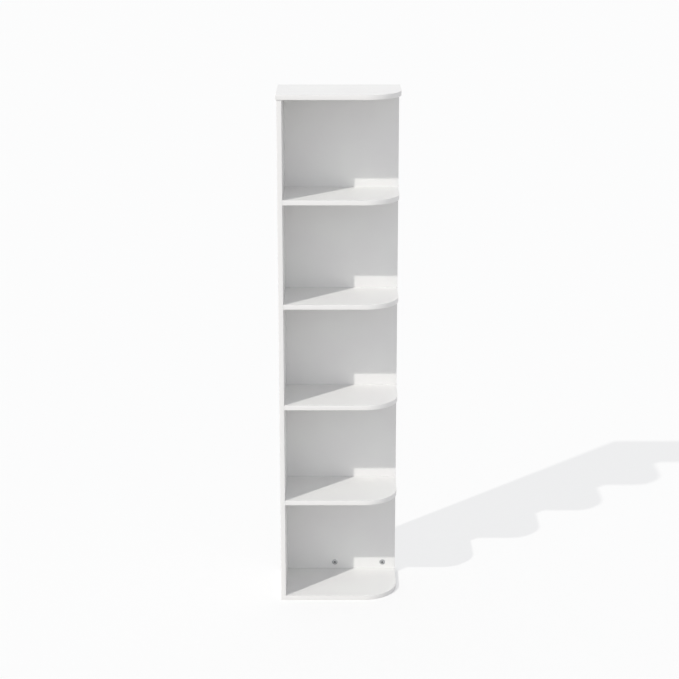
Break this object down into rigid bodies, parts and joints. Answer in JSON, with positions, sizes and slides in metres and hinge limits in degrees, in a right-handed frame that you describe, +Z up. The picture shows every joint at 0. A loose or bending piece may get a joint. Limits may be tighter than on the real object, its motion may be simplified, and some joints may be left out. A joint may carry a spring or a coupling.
{
  "type": "corner shelf unit",
  "caption": "Tall narrow open corner shelf unit of white boards, with a side panel, a back panel and shelves that are rounded at the free front corner.",
  "frame": {"origin": "on the floor, at the middle of the unit's box", "axes": "+X right, -Y the open front, +Y towards the back panel, +Z up"},
  "size_m": [0.406, 0.253, 1.75],
  "materials": {
    "white_melamine_board": "chipboard with a white melamine face, satin, very fine pebble",
    "white_abs_edging": "extruded ABS edge band, smooth satin",
    "zinc_plated_steel": "bright zinc plating",
    "zinc_casting": "die cast, matt grey",
    "beech_dowel": "turned beech, bare"
  },
  "bodies": {
    "root": {"base_board": "white_melamine_board", "top_board": "white_melamine_board", "shelf_1": "white_melamine_board", "shelf_2": "white_melamine_board", "shelf_3": "white_melamine_board", "shelf_4": "white_melamine_board", "side_panel": "white_melamine_board", "back_panel": "white_melamine_board", "base_board_front_band": "white_abs_edging", "base_board_left_band": "white_abs_edging", "top_board_front_band": "white_abs_edging", "top_board_left_band": "white_abs_edging", "shelf_1_front_band": "white_abs_edging", "shelf_2_front_band": "white_abs_edging", "shelf_3_front_band": "white_abs_edging", "shelf_4_front_band": "white_abs_edging", "side_panel_band": "white_abs_edging", "back_panel_band": "white_abs_edging", "shelf_1_side_screw_1": "zinc_plated_steel", "shelf_1_side_screw_2": "zinc_plated_steel", "shelf_1_back_screw_1": "zinc_plated_steel", "shelf_1_back_screw_2": "zinc_plated_steel", "shelf_2_side_screw_1": "zinc_plated_steel", "shelf_2_side_screw_2": "zinc_plated_steel", "shelf_2_back_screw_1": "zinc_plated_steel", "shelf_2_back_screw_2": "zinc_plated_steel", "shelf_3_side_screw_1": "zinc_plated_steel", "shelf_3_side_screw_2": "zinc_plated_steel", "shelf_3_back_screw_1": "zinc_plated_steel", "shelf_3_back_screw_2": "zinc_plated_steel", "shelf_4_side_screw_1": "zinc_plated_steel", "shelf_4_side_screw_2": "zinc_plated_steel", "shelf_4_back_screw_1": "zinc_plated_steel", "shelf_4_back_screw_2": "zinc_plated_steel", "panel_joint_screw_1": "zinc_plated_steel", "panel_joint_screw_2": "zinc_plated_steel", "panel_joint_screw_3": "zinc_plated_steel", "base_side_screw_1": "zinc_plated_steel", "base_side_screw_2": "zinc_plated_steel", "base_back_screw_1": "zinc_plated_steel", "base_back_screw_2": "zinc_plated_steel", "top_cam_bolt_1": "zinc_plated_steel", "top_cam_bolt_2": "zinc_plated_steel", "top_cam_bolt_3": "zinc_plated_steel", "top_cam_bolt_4": "zinc_plated_steel", "connector_bolt_left": "zinc_plated_steel", "connector_bolt_right": "zinc_plated_steel", "connector_nut_left": "zinc_plated_steel", "connector_nut_right": "zinc_plated_steel", "top_cam_1": "zinc_casting", "top_cam_2": "zinc_casting", "top_cam_3": "zinc_casting", "top_cam_4": "zinc_casting", "top_dowel_side": "beech_dowel", "top_dowel_back": "beech_dowel"}
  },
  "joints": []
}
